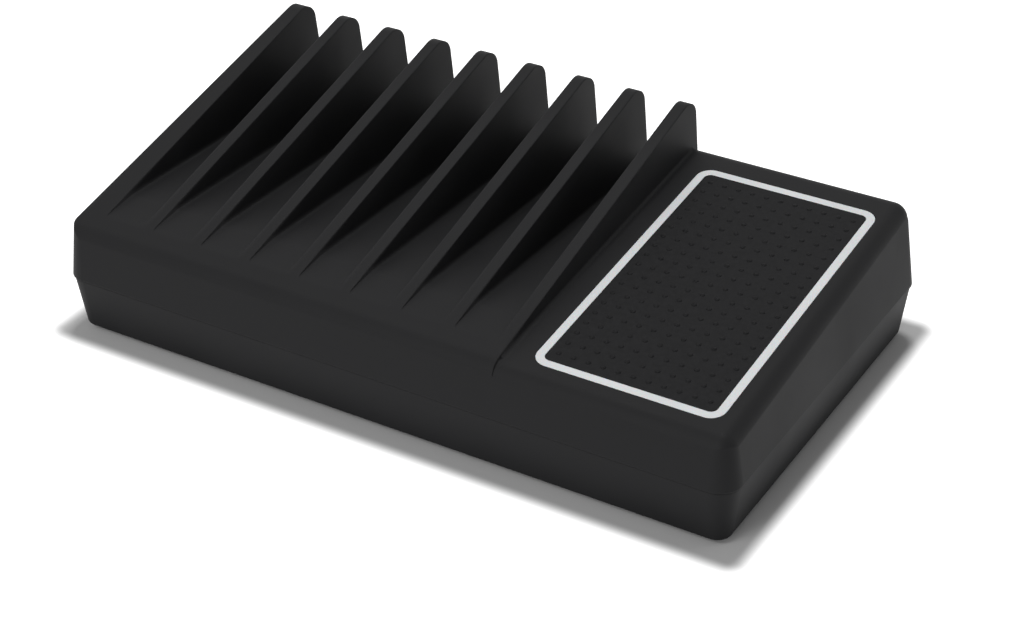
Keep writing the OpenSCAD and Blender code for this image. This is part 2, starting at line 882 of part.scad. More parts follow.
module primary_heat_sink() {
    color("#9ea3a8")
        on_power_board(10, -16) heat_sink(34, 24, 6);
}

module secondary_heat_sink() {
    color("#9ea3a8")
        on_power_board(-36, -14)
            mirror([1, 0, 0]) heat_sink(40, 24, 7);
}

// Mains inlet with a two-pin socket
module inlet_body() {
    socket_r = 4.1;
    socket_d = 12;
    color("#1e1e20")
        translate([inlet_x, panel_y, panel_z])
            rotate([90, 0, 0])
                difference() {
                    union() {
                        translate([0, 0, -inlet_flange])
                            linear_extrude(inlet_flange) round_rect(25, 15, 2);
                        linear_extrude(18) round_rect(20, 12, 1.5);
                    }
                    translate([0, 0, -inlet_flange - 1])
                        linear_extrude(socket_d + 1) {
                            for (x = [-1, 1])
                                translate([x * pin_spacing / 2, 0]) circle(socket_r, $fn = round_fn);
                            square([pin_spacing, 2 * socket_r - 1.2], center = true);
                        }
                }
}

module inlet_pins() {
    socket_floor = 12 - inlet_flange;
    pin_l = 10;
    color("#c9b267")
        for (x = [-1, 1])
            translate([inlet_x + x * pin_spacing / 2, panel_y - socket_floor, panel_z])
                rotate([-90, 0, 0])
                    cylinder(h = pin_l, r = 1.2, $fn = round_fn);
}

// Snap-in frame of the mains switch with the rocker's pivot holes
module switch_frame() {
    flange = 1.6;
    body_depth = 13;
    opening_depth = 8.5;
    color("#1a1a1c")
        translate([switch_x, panel_y, panel_z])
            rotate([90, 0, 0])
                difference() {
                    union() {
                        translate([0, 0, -flange])
                            linear_extrude(flange) round_rect(21, 15, 1.5);
                        linear_extrude(body_depth) round_rect(18.8, 12.8, 0.8);
                    }
                    translate([0, 0, -flange - 1])
                        linear_extrude(opening_depth + flange + 1)
                            square(switch_opening, center = true);
                    translate([0, 0, pivot_depth])
                        rotate([90, 0, 0])
                            cylinder(h = 11.6, r = pivot_r + 0.05, center = true, $fn = round_fn);
                }
}

// Rocker with curved ends and a shallow dip in its face, shown in its off position
module switch_rocker() {
    face = [2.6, 4.6];       // height of the face above the pivot, in the middle and at the ends
    back = 2.8;
    color("#1a1a1c")
        translate([switch_x, panel_y - pivot_depth, panel_z])
            rotate([0, 0, -rocker_travel / 2]) {
                linear_extrude(rocker_h, center = true)
                    intersection() {
                        circle(rocker_r, $fn = round_fn);
                        polygon([[-8, -back], [8, -back], [8, face[1]], [0, face[0]], [-8, face[1]]]);
                    }
                cylinder(h = 11.2, r = pivot_r, center = true, $fn = round_fn);
            }
}

upper_shell();
lower_shell();
light_ring();
deck_mat();
light_board();
lamps();
light_board_screws();
for (i = [1:port_count]) {
    usb_port(i);
    usb_tongue(i);
}
port_board();
charge_chips();
port_board_screws();
power_board();
power_board_screws();
transformer_core();
transformer_coil();
for (i = [1, 2])
    bulk_capacitor(i);
mains_choke();
filter_capacitor();
bridge_rectifier();
fuse();
primary_heat_sink();
secondary_heat_sink();
output_capacitors();
inlet_body();
inlet_pins();
switch_frame();
switch_rocker();
housing_screws();
foot(-1, -1);  // front_left_foot
foot(1, -1);  // front_right_foot
foot(-1, 1);  // back_left_foot
foot(1, 1);  // back_right_foot
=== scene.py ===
# %% [markdown]
# A desktop charging station: nine upright dividers make eight slots for phones and tablets, and a
# sloped deck at the right carries a soft mat inside a light ring. The solids come from the packed
# model and stay where they are. This lesson gives them their finishes, adds the details that are
# too fine for the solids, and sets up the camera, the floor and the light.

import math

import bmesh
import bpy
from mathutils import Matrix, Vector


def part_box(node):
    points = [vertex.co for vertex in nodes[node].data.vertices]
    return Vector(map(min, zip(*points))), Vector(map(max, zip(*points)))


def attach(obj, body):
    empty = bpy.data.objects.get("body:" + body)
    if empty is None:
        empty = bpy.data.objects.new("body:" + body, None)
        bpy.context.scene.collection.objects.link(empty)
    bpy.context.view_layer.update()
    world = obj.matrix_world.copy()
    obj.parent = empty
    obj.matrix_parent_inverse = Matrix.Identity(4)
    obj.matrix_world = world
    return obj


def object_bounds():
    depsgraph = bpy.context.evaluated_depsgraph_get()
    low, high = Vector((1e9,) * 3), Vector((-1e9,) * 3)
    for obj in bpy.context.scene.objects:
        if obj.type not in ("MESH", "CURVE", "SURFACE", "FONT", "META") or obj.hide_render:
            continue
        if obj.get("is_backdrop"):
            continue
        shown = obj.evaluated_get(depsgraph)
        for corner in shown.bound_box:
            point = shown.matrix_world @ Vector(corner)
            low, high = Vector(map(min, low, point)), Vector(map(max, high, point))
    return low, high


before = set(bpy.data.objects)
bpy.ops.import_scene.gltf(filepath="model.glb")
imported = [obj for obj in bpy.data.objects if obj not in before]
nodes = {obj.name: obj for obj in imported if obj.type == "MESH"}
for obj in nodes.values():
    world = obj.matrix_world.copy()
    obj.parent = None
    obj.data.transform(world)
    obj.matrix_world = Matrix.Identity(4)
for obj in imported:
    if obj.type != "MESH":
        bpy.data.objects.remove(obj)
cad_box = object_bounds()
MM = 0.001
print("nodes:", len(nodes), "size in mm:", [round((b - a) / MM, 1) for a, b in zip(*cad_box)])

# %% [markdown]
# Every colour below is written as a designer would note it, as an sRGB hex value. Shaders calculate
# with linear light, so one function turns the hex into that. A second small function adds a node:
# it sets the node's options, and each input gets either a constant or a link from another node.

# %% Colour and node helpers
def linear(hex_colour):
    """An sRGB hex colour such as "#808080" as red, green, blue and alpha in linear light."""
    channels = [int(hex_colour[i : i + 2], 16) / 255 for i in (1, 3, 5)]
    curve = [c / 12.92 if c <= 0.04045 else ((c + 0.055) / 1.055) ** 2.4 for c in channels]
    return (*curve, 1.0)


def add(tree, kind, inputs=(), **options):
    """Adds a node with its options set. An input gets a link if it is given a socket, else a value."""
    node = tree.nodes.new(kind)
    for option, value in options.items():
        setattr(node, option, value)
    for name, value in dict(inputs).items():
        if isinstance(value, bpy.types.NodeSocket):
            tree.links.new(value, node.inputs[name])
        else:
            node.inputs[name].default_value = value
    return node


# A Mix node shows one pair of inputs for each kind of data; these are the numbers of its colour sockets
MIX_A, MIX_B, MIX_OUT = 6, 7, 2


def scale_for(size_mm):
    """Texture scale at which one grain is size_mm wide, for coordinates in metres."""
    return 1 / (size_mm * MM)


print("mid grey in linear light:", [round(c, 3) for c in linear("#808080")[:3]])

# %% [markdown]
# All finishes share one skeleton, because moulded, plated and pressed surfaces vary in the same
# ways. The colour drifts between two near tones, on most pieces over a few centimetres, the
# roughness drifts with it, and a fine grain stands out as a bump. A real grain is mostly finer
# than a tenth of a millimetre and would vanish at this distance, so each one is drawn a few times
# coarser, just wide enough to show. A mould has no perfectly sharp edge either: the bevel node
# bends the shading over a narrow radius there. Where it does, hands and devices rub, so the same
# bend also mixes in the tone of a slightly polished edge. The coordinates are the object's own, so
# a pattern stays on a piece that moves.

# %% Finish skeleton
# Most of a noise texture lies in this range, so the drift uses the whole way between the two tones
drift_range = (0.3, 0.7)
# How far the edge tone comes in, and the cosine of the bend at which it has done so
edge_share, full_bend = 0.6, 0.75


def finish(
    name,
    tones,
    roughness,
    grain_mm,
    grain_depth_mm,
    edge_mm,
    edge_tone,
    drift_mm=30,
    stretch=(1, 1, 1),
    **constants,
):
    """A material with drifting colour and roughness, a grain and soft edges. A small factor in stretch
    draws the grain out along that axis, and constants are set on the shader's own sockets."""
    material = bpy.data.materials.new(name)
    material.use_nodes = True
    tree = material.node_tree
    shader = tree.nodes["Principled BSDF"]
    for socket, value in constants.items():
        shader.inputs[socket.replace("_", " ")].default_value = value
    place = add(tree, "ShaderNodeTexCoord").outputs["Object"]
    drawn = add(tree, "ShaderNodeMapping", {"Vector": place, "Scale": stretch}).outputs["Vector"]
    drift = add(
        tree,
        "ShaderNodeTexNoise",
        {"Vector": place, "Scale": scale_for(drift_mm), "Detail": 3.0},
    )
    grain = add(
        tree,
        "ShaderNodeTexNoise",
        {"Vector": drawn, "Scale": scale_for(grain_mm), "Detail": 2.0},
    )
    soft = add(tree, "ShaderNodeBevel", {"Radius": edge_mm * MM}, samples=6)
    soft.name = "soft edges"
    flat = add(tree, "ShaderNodeNewGeometry").outputs["Normal"]
    bend = add(
        tree,
        "ShaderNodeVectorMath",
        {0: soft.outputs["Normal"], 1: flat},
        operation="DOT_PRODUCT",
    )
    worn = add(
        tree,
        "ShaderNodeMapRange",
        {
            "Value": bend.outputs["Value"],
            "From Min": 1.0,
            "From Max": full_bend,
            "To Max": edge_share,
        },
    )
    mood = add(
        tree,
        "ShaderNodeMapRange",
        {"Value": drift.outputs["Fac"], "From Min": drift_range[0], "From Max": drift_range[1]},
    )
    tone = add(
        tree,
        "ShaderNodeMix",
        {"Factor": mood.outputs["Result"], MIX_A: linear(tones[0]), MIX_B: linear(tones[1])},
        data_type="RGBA",
    )
    tone.name = "tone"
    colour = add(
        tree,
        "ShaderNodeMix",
        {"Factor": worn.outputs["Result"], MIX_A: tone.outputs[MIX_OUT], MIX_B: linear(edge_tone)},
        data_type="RGBA",
    )
    spread = add(
        tree,
        "ShaderNodeMapRange",
        {"Value": mood.outputs["Result"], "To Min": roughness[0], "To Max": roughness[1]},
    )
    bump = add(
        tree,
        "ShaderNodeBump",
        {
            "Height": grain.outputs["Fac"],
            "Distance": grain_depth_mm * MM,
            "Normal": soft.outputs["Normal"],
        },
    )
    tree.links.new(colour.outputs[MIX_OUT], shader.inputs["Base Color"])
    tree.links.new(spread.outputs["Result"], shader.inputs["Roughness"])
    tree.links.new(bump.outputs["Normal"], shader.inputs["Normal"])
    return material


def dress(material, *names):
    """Gives a material to every slot of the named nodes."""
    for name in names:
        mesh = nodes[name].data
        if not mesh.materials:
            mesh.materials.append(None)
        for i in range(len(mesh.materials)):
            mesh.materials[i] = material
    print(material.name, "on", ", ".join(names) if len(names) < 5 else f"{len(names)} nodes")


print("the drift uses", drift_range, "of the noise, an edge gets", edge_share, "of its own tone")

# %% [markdown]
# The housing is ABS, injection moulded in black, in a mould whose steel was spark eroded and whose
# edges were broken with a stone. The eye gets an even, soft black: the grain is about 0.05 mm wide
# and spreads every reflection. At this distance such a grain vanishes, so it is drawn at 0.5 mm.
# The pits of the grain also swallow most of the gloss, so the specular level is far below that
# of polished ABS, and the slots, where every reflection is of black plastic, go nearly black.

# %% Moulded black ABS
abs_black = finish(
    "moulded_abs_black",
    tones=("#19191a", "#1d1d1e"),
    roughness=(0.55, 0.63),
    grain_mm=0.5,
    grain_depth_mm=0.012,
    edge_mm=1.2,
    edge_tone="#29292a",
    IOR=1.54,
    Specular_IOR_Level=0.1,
)
print(abs_black.name, "has", len(abs_black.node_tree.nodes), "nodes")

# %% [markdown]
# In the slots the mould's edges are rounder, because the plastic has to flow round the foot of each
# tall divider. Cutting real fillets there would change the solids, which are fixed, so the radius
# of the soft edges itself grows on the low stretch of the slots, and where the last divider runs
# out at the front edge of the deck. Both places are zones with soft limits: inside one the mask is
# 1, and it runs out to 0 over a few millimetres, so the radius never jumps.

# %% Round feet of the dividers
def soft_zone(tree, *limits):
    """A mask of 1 inside the zone and 0 outside. Each limit names an axis, the place up to which
    the mask is full and the place where it has run out, both in mm."""
    place = add(tree, "ShaderNodeTexCoord").outputs["Object"]
    axes = add(tree, "ShaderNodeSeparateXYZ", {"Vector": place}).outputs
    mask = 1.0
    for axis, full, none in limits:
        inputs = {"Value": axes[axis], "From Min": none * MM, "From Max": full * MM}
        ramp = add(tree, "ShaderNodeMapRange", inputs).outputs["Result"]
        mask = add(tree, "ShaderNodeMath", {0: mask, 1: ramp}, operation="MULTIPLY").outputs[0]
    return mask


tree = abs_black.node_tree
low_stretch = ("Z", 56, 64)
left_of_deck = ("X", 52, 55)
behind_front_edge = ("Y", -74, -80)
slot_feet = soft_zone(tree, low_stretch, left_of_deck, behind_front_edge)
last_divider = [("X", 50, 47), ("X", 59, 64)]
deck_front = ("Y", -72, -60)
over_seam = ("Z", 44, 38)
deck_foot = soft_zone(tree, *last_divider, deck_front, over_seam)
round_foot = add(tree, "ShaderNodeMath", {0: slot_feet, 1: deck_foot}, operation="MAXIMUM").outputs[0]
soft = tree.nodes["soft edges"]
edge_radius = soft.inputs["Radius"].default_value
foot_radius = 3.5 * MM
inputs = {"Value": round_foot, "To Min": edge_radius, "To Max": foot_radius}
tree.links.new(add(tree, "ShaderNodeMapRange", inputs).outputs["Result"], soft.inputs["Radius"])
# A wide radius needs more samples than the other finishes have, or it looks grainy
soft.samples = 8
print("soft edges grow from", round(edge_radius / MM, 1), "to", round(foot_radius / MM, 1), "mm")

# %% [markdown]
# The two shells meet in a shadow gap of a third of a millimetre, which hides that no two mouldings
# shrink alike. It is too thin to light up, so its shade is painted: the tone goes down to near
# black along the seam. The specular level stays one number on the shader's own socket, because an
# exported model only keeps that.

# %% Painted shade in the gap between the shells
seam_height = 27.5
seam_half = 0.12
gap = soft_zone(
    tree,
    ("Z", seam_height - seam_half, seam_height - 2 * seam_half),
    ("Z", seam_height + seam_half, seam_height + 2 * seam_half),
)
shader = tree.nodes["Principled BSDF"]
worn_tone = shader.inputs["Base Color"].links[0].from_socket
# Painted shade: the gap is drawn near black, since light hardly reaches into it
inputs = {"Factor": gap, MIX_A: worn_tone, MIX_B: linear("#060606")}
painted_seam_shade = add(tree, "ShaderNodeMix", inputs, data_type="RGBA")
tree.links.new(painted_seam_shade.outputs[MIX_OUT], shader.inputs["Base Color"])
dress(abs_black, "upper_shell", "lower_shell")

# %% [markdown]
# The mat is silicone rubber, pressed in a blasted mould. It is soft, has a lower index than ABS
# and a coarser skin with a fine mottle, so it looks a shade deader than the deck round it.

# %% Pressed silicone rubber
silicone_black = finish(
    "pressed_silicone_black",
    tones=("#161617", "#222223"),
    roughness=(0.6, 0.72),
    grain_mm=1.0,
    grain_depth_mm=0.09,
    edge_mm=0.4,
    edge_tone="#222223",
    drift_mm=2.2,
    IOR=1.41,
    Specular_IOR_Level=0.12,
)
dress(silicone_black, "deck_mat")

# %% [markdown]
# The mat isn't plain: low round pips stand on it in a square pattern, so that a phone doesn't
# slide down the slope. They could be a bump in the material, but a bump has no outline and no
# shadow, and there are only about two hundred, so each is a small dome of real mesh. The grid is
# laid out flat round the middle of the mat, and one matrix tilts it onto the deck.

# %% Place of the mat
deck_slope = math.radians(5.4)
mat_thickness = 1.2 * MM
low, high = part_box("deck_mat")
through_mat = Vector((0, -math.sin(deck_slope), math.cos(deck_slope))) * mat_thickness
mat_middle = (low + high + through_mat) / 2
mat_width = high.x - low.x
mat_length = (high.y - low.y - mat_thickness * math.sin(deck_slope)) / math.cos(deck_slope)
on_mat = Matrix.Translation(mat_middle) @ Matrix.Rotation(deck_slope, 4, "X")
print("mat", round(mat_width / MM, 1), "by", round(mat_length / MM, 1), "mm")

# %% Pips
pip_pitch = (6.55 * MM, 7.2 * MM)
pip_radius = 1.2 * MM
pip_height = 0.45 * MM
pip_sunk = 0.01 * MM
pip_rings = 4
pip_sides = 14
edge_margin = 4 * MM


def add_pip(mesh, x, y):
    """A closed dome whose height falls off as a cosine, so that it runs out flat. Its foot is sunk
    a little into the mat, so that no gap shows."""
    rings = []
    for ring in range(1, pip_rings + 1):
        r = pip_radius * ring / pip_rings
        z = pip_height * (0.5 + 0.5 * math.cos(math.pi * ring / pip_rings)) - pip_sunk
        turns = [2 * math.pi * i / pip_sides for i in range(pip_sides)]
        rings.append([mesh.verts.new((x + r * math.cos(t), y + r * math.sin(t), z)) for t in turns])
    top = mesh.verts.new((x, y, pip_height))
    for i in range(pip_sides):
        j = (i + 1) % pip_sides
        mesh.faces.new((top, rings[0][i], rings[0][j]))
        for inner, outer in zip(rings, rings[1:]):
            mesh.faces.new((inner[i], outer[i], outer[j], inner[j]))
    mesh.faces.new(rings[-1])


def new_piece(name, mesh, material, body, smooth=False):
    """Turns a bmesh into a piece that rides on a body and takes its finish from a material slot."""
    data = bpy.data.meshes.new(name)
    bmesh.ops.recalc_face_normals(mesh, faces=mesh.faces)
    mesh.to_mesh(data)
    mesh.free()
    if smooth:
        data.shade_smooth()
    data.materials.append(material)
    piece = bpy.data.objects.new(name, data)
    bpy.context.scene.collection.objects.link(piece)
    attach(piece, body)
    print(name, "has", len(data.polygons), "faces")
    return piece


def grid_places(length, pitch, margin):
    """Places along a length, centred, a pitch apart and clear of both ends."""
    count = int((length - 2 * margin) / pitch) + 1
    return [(i - (count - 1) / 2) * pitch for i in range(count)]


pips = bmesh.new()
for x in grid_places(mat_width, pip_pitch[0], edge_margin):
    for y in grid_places(mat_length, pip_pitch[1], edge_margin):
        add_pip(pips, x, y)
pips.transform(on_mat)
new_piece("mat_pips", pips, silicone_black, "station", smooth=True)

# %% [markdown]
# The ring is the rim of a tray of opal polycarbonate. Lamps below shine through it, so it holds a
# white pigment that scatters light just under the skin. Switched off, it is a pale, even grey.

# %% Opal polycarbonate
opal_white = finish(
    "opal_polycarbonate",
    tones=("#d9dbdd", "#dee0e1"),
    roughness=(0.36, 0.44),
    grain_mm=0.7,
    grain_depth_mm=0.008,
    edge_mm=0.3,
    edge_tone="#e6e8e9",
    IOR=1.585,
    Subsurface_Weight=0.1,
    Subsurface_Scale=1 * MM,
)
dress(opal_white, "light_ring")

# %% [markdown]
# The feet are natural rubber with soot in it, moulded in a turned mould, and stick to any table.
# Rubber has a dull, slightly dusty skin with hardly a highlight.

# %% Moulded rubber
rubber_black = finish(
    "moulded_rubber_black",
    tones=("#171717", "#1e1e1e"),
    roughness=(0.75, 0.88),
    grain_mm=0.6,
    grain_depth_mm=0.03,
    edge_mm=0.3,
    edge_tone="#282828",
    IOR=1.52,
)
dress(rubber_black, *[f"{end}_{side}_foot" for end in ("front", "back") for side in ("left", "right")])

# %% [markdown]
# The mains inlet and the switch are glass-filled nylon, which stands the heat of a bad contact.
# Their moulds are polished, so they shine more than the housing, with the slight flow marks that
# the fibres leave.

# %% Glass-filled nylon
nylon_black = finish(
    "moulded_nylon_black",
    tones=("#151516", "#1b1b1c"),
    roughness=(0.28, 0.4),
    grain_mm=0.8,
    grain_depth_mm=0.01,
    edge_mm=0.3,
    edge_tone="#2a2a2b",
    stretch=(1, 1, 3),
    IOR=1.53,
)
dress(nylon_black, "inlet_body", "switch_frame", "switch_rocker")

# %% [markdown]
# The port shells are thin steel, rolled, folded and nickel plated. Nickel is a slightly warm grey
# metal, and the rolling lines run the long way of the strip, so the grain is drawn out along x.

# %% Nickel-plated steel
nickel = finish(
    "nickel_plated_steel",
    tones=("#b3b0a9", "#c1beb7"),
    roughness=(0.22, 0.34),
    grain_mm=0.25,
    grain_depth_mm=0.003,
    edge_mm=0.12,
    edge_tone="#d6d3cc",
    stretch=(0.08, 1, 1),
    Metallic=1.0,
)
ports = sorted(name for name in nodes if name.startswith("usb_port_"))
dress(nickel, *ports)

# %% [markdown]
# The tongues are a black liquid-crystal polymer that flows into thin moulds. It is dull, with pale
# swirls, and carries four contacts of gilded bronze, which slide on those of the plug. The gilding
# is warm and clear, because it is laid over a bright nickel. The pins of the inlet get it as well.

# %% Contact tongues
tongue_black = finish(
    "moulded_liquid_crystal_polymer",
    tones=("#202123", "#2c2d30"),
    roughness=(0.5, 0.62),
    grain_mm=0.5,
    grain_depth_mm=0.008,
    edge_mm=0.12,
    edge_tone="#3a3b3e",
    stretch=(1, 0.3, 1),
    IOR=1.6,
)
tongues = [name.replace("port", "tongue") for name in ports]
dress(tongue_black, *tongues)

gilded_bronze = finish(
    "gilded_bronze",
    tones=("#d8b25a", "#e2bf6c"),
    roughness=(0.2, 0.3),
    grain_mm=0.2,
    grain_depth_mm=0.002,
    edge_mm=0.05,
    edge_tone="#f0d48c",
    stretch=(1, 0.1, 1),
    Metallic=1.0,
)
dress(gilded_bronze, "inlet_pins")

# %% Contacts in the ports
contact_width = 1.0 * MM
contact_length = 6.4 * MM
contact_thickness = 0.14 * MM
contact_sunk = 0.2 * contact_thickness
contact_bevel = 0.04 * MM
contact_places = [x * MM for x in (-3.5, -1.0, 1.0, 3.5)]
contact_inset = 0.8 * MM
contacts = bmesh.new()
for name in tongues:
    low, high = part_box(name)
    for x in contact_places:
        middle = Vector(
            (
                (low.x + high.x) / 2 + x,
                high.y - contact_inset - contact_length / 2,
                low.z + contact_sunk - contact_thickness / 2,
            )
        )
        shape = Matrix.Diagonal((contact_width, contact_length, contact_thickness, 1))
        place = Matrix.Translation(middle) @ shape
        strip = bmesh.ops.create_cube(contacts, size=1, matrix=place)["verts"]
        edges = {edge for corner in strip for edge in corner.link_edges}
        bmesh.ops.bevel(contacts, geom=list(edges), offset=contact_bevel, segments=1, affect="EDGES")
new_piece("port_contacts", contacts, gilded_bronze, "station")

# %% [markdown]
# The rocker carries the two common marks: a bar for on and a ring for off, pad printed in white.
# The ink lies a few hundredths of a millimetre above its dished face, so each mark is a thin
# solid of its own, which turns with the rocker. The face falls from both ends to the middle, so
# each mark has its own tilt.

# %% Marks on the rocker
pivot = Vector((109, 85, 39.25)) * MM
rest_turn = math.radians(-9)
face_middle, face_end, face_half = 2.6 * MM, 4.6 * MM, 8 * MM
face_tilt = math.atan2(face_end - face_middle, face_half)
mark_place = 4.3 * MM
mark_proud = 0.03 * MM
bar = (0.5 * MM, 3 * MM)
ring_outer, ring_inner, ring_sides = 1.5 * MM, 1.1 * MM, 32


def onto_face(side):
    """Matrix from a mark drawn in the x-z plane to the rocker's face at that side."""
    height = face_middle + mark_place * math.tan(face_tilt) + mark_proud
    return (
        Matrix.Translation(pivot)
        @ Matrix.Rotation(rest_turn, 4, "Z")
        @ Matrix.Translation((side * mark_place, height, 0))
        @ Matrix.Rotation(side * face_tilt, 4, "Z")
    )


marks = bmesh.new()
corners = [(x * bar[0] / 2, 0, z * bar[1] / 2) for x, z in ((-1, -1), (1, -1), (1, 1), (-1, 1))]
marks.faces.new([marks.verts.new(onto_face(-1) @ Vector(corner)) for corner in corners])
circles = [
    [
        marks.verts.new(onto_face(1) @ Vector((r * math.cos(t), 0, r * math.sin(t))))
        for t in (2 * math.pi * i / ring_sides for i in range(ring_sides))
    ]
    for r in (ring_outer, ring_inner)
]
for i in range(ring_sides):
    j = (i + 1) % ring_sides
    marks.faces.new((circles[0][i], circles[0][j], circles[1][j], circles[1][i]))
bmesh.ops.recalc_face_normals(marks, faces=marks.faces)
bmesh.ops.solidify(marks, geom=marks.faces[:], thickness=mark_proud)
ink_white = finish(
    "pad_printed_white_ink",
    tones=("#d9d9d6", "#e3e3e0"),
    roughness=(0.5, 0.6),
    grain_mm=0.3,
    grain_depth_mm=0.004,
    edge_mm=0.02,
    edge_tone="#e8e8e6",
    IOR=1.5,
)
new_piece("switch_marks", marks, ink_white, "rocker")

# %% [markdown]
# Inside the housing stand the boards and their components. The camera doesn't see them, but the
# model can be opened, so each gets the finish of the real thing. The port board is green: glass
# cloth in epoxy under a solder mask. The mask of the light board is white, to throw the lamps'
# light back, and the power board is brown phenolic paper, on which big parts are cheaper. Copper
# tracks show through as another tint, so a pattern of offset bricks draws them, 2 mm apart.

# %% Circuit boards
track_mm, track_rows_mm, track_gap_mm = 9.0, 2.0, 0.12


def board(name, tones, track_tone, edge_tone):
    """A board's finish: the shared skeleton, whose second tone is broken up by copper tracks."""
    material = finish(
        name,
        tones=tones,
        roughness=(0.3, 0.4),
        grain_mm=0.8,
        grain_depth_mm=0.01,
        edge_mm=0.1,
        edge_tone=edge_tone,
        IOR=1.55,
    )
    tree = material.node_tree
    place = add(tree, "ShaderNodeTexCoord").outputs["Object"]
    tracks = add(
        tree,
        "ShaderNodeTexBrick",
        {
            "Vector": place,
            "Scale": scale_for(1),
            "Mortar Size": track_gap_mm,
            "Brick Width": track_mm,
            "Row Height": track_rows_mm,
            "Color1": linear(track_tone),
            "Color2": linear(tones[1]),
            "Mortar": linear(tones[0]),
        },
    )
    tone = tree.nodes["tone"]
    tree.links.new(tracks.outputs["Color"], tone.inputs[MIX_B])
    return material


dress(board("solder_mask_green", ("#1d4f33", "#22593a"), "#2f7350", "#c9c49a"), "port_board")
dress(board("solder_mask_white", ("#e0e0d8", "#e6e6df"), "#d2d2c8", "#d8cfa0"), "light_board")
dress(board("phenolic_paper_brown", ("#7d5a2c", "#8a6535"), "#9a7440", "#a98a58"), "power_board")

# %% [markdown]
# The lamps are small white diodes whose blue chip lies under a yellow gel of silicone and phosphor.
# Chips and the rectifier are black epoxy, marked by the mould only. Ferrite is a dark ceramic that
# is pressed and fired, so it is matt and slightly pitted.

# %% Lamps, chips and ferrite
phosphor_gel = finish(
    "phosphor_gel_yellow",
    tones=("#e0c654", "#ead26a"),
    roughness=(0.25, 0.4),
    grain_mm=0.3,
    grain_depth_mm=0.01,
    edge_mm=0.1,
    edge_tone="#f0e6b8",
    IOR=1.41,
    Subsurface_Weight=0.3,
    Subsurface_Scale=0.3 * MM,
)
dress(phosphor_gel, "lamps")
epoxy_black = finish(
    "transfer_moulded_epoxy_black",
    tones=("#1b1b1d", "#232325"),
    roughness=(0.48, 0.6),
    grain_mm=0.3,
    grain_depth_mm=0.012,
    edge_mm=0.15,
    edge_tone="#303033",
    IOR=1.57,
)
dress(epoxy_black, "charge_chips", "bridge_rectifier")
ferrite = finish(
    "fired_ferrite",
    tones=("#2a2a2d", "#36363a"),
    roughness=(0.6, 0.75),
    grain_mm=0.5,
    grain_depth_mm=0.05,
    edge_mm=0.3,
    edge_tone="#4a4a4e",
    IOR=2.3,
)
dress(ferrite, "transformer_core")

# %% [markdown]
# Coils are wound in layers. On the transformer a yellow polyester tape covers them, with a visible
# edge at each turn of the tape, and the choke shows its enamelled copper wire. Both are bands of
# a known pitch: the tape's are 4 mm apart, the wire's 0.9 mm. The filter capacitor is wound too,
# from metallised film, and has the same yellow tape round it.

# %% Wound coils
tape_pitch_mm, tape_step_mm = 4, 0.08
wire_pitch_mm, wire_step_mm = 0.9, 0.3


def banded(name, tones, pitch_mm, depth_mm, roughness, direction, **constants):
    """A wound finish: the shared skeleton under bands a pitch apart, which stand out by a depth."""
    material = finish(
        name,
        tones=tones,
        roughness=roughness,
        grain_mm=0.4,
        grain_depth_mm=0.01,
        edge_mm=0.2,
        edge_tone=tones[1],
        **constants,
    )
    tree = material.node_tree
    place = add(tree, "ShaderNodeTexCoord").outputs["Object"]
    # At scale 1 the wave texture repeats every pi / 10 of a unit
    bands = add(
        tree,
        "ShaderNodeTexWave",
        {"Vector": place, "Scale": scale_for(pitch_mm) * math.pi / 10},
        bands_direction=direction,
    )
    bump = tree.nodes["Bump"]
    over = add(
        tree,
        "ShaderNodeBump",
        {"Height": bands.outputs["Fac"], "Distance": depth_mm * MM, "Normal": bump.outputs["Normal"]},
    )
    tree.links.new(over.outputs["Normal"], tree.nodes["Principled BSDF"].inputs["Normal"])
    return material


tape = banded(
    "polyester_tape_yellow",
    tones=("#cfa233", "#dbb24a"),
    pitch_mm=tape_pitch_mm,
    depth_mm=tape_step_mm,
    roughness=(0.25, 0.35),
    direction="Z",
    IOR=1.64,
)
dress(tape, "transformer_coil", "filter_capacitor")
wire = banded(
    "enamelled_copper",
    tones=("#9c4f22", "#b8652f"),
    pitch_mm=wire_pitch_mm,
    depth_mm=wire_step_mm,
    roughness=(0.2, 0.3),
    direction="DIAGONAL",
    Metallic=1.0,
)
dress(wire, "mains_choke")

# %% [markdown]
# A capacitor is an aluminium can in a shrunk sleeve of dark blue PVC. The sleeve hugs the can and
# shines like any film drawn over metal. The fuse is a drawn glass tube, smooth, bright and faintly
# streaked along its length. The heat sinks are extruded aluminium, and the die leaves fine lines
# along the fins, so their grain is drawn out upwards.

# %% Capacitors, fuse and heat sinks
sleeve = finish(
    "shrunk_pvc_sleeve_blue",
    tones=("#1c2542", "#242e50"),
    roughness=(0.25, 0.35),
    grain_mm=1.2,
    grain_depth_mm=0.02,
    edge_mm=0.5,
    edge_tone="#39456b",
    stretch=(1, 1, 0.3),
    IOR=1.54,
)
dress(sleeve, "bulk_capacitor_1", "bulk_capacitor_2", "output_capacitors")
glass = finish(
    "drawn_glass_sleeve",
    tones=("#c6cdd0", "#d2d8da"),
    roughness=(0.08, 0.14),
    grain_mm=2,
    grain_depth_mm=0.01,
    edge_mm=0.3,
    edge_tone="#e3e8ea",
    stretch=(0.2, 1, 1),
    IOR=1.52,
)
dress(glass, "fuse")
aluminium = finish(
    "extruded_aluminium",
    tones=("#a9acaf", "#b6b9bc"),
    roughness=(0.32, 0.45),
    grain_mm=0.3,
    grain_depth_mm=0.01,
    edge_mm=0.2,
    edge_tone="#cfd2d4",
    stretch=(1, 1, 0.06),
    Metallic=1.0,
)
dress(aluminium, "primary_heat_sink", "secondary_heat_sink")

# %% [markdown]
# The screws are cold-headed steel with a thin zinc plate, which is bluish and a little cloudy.

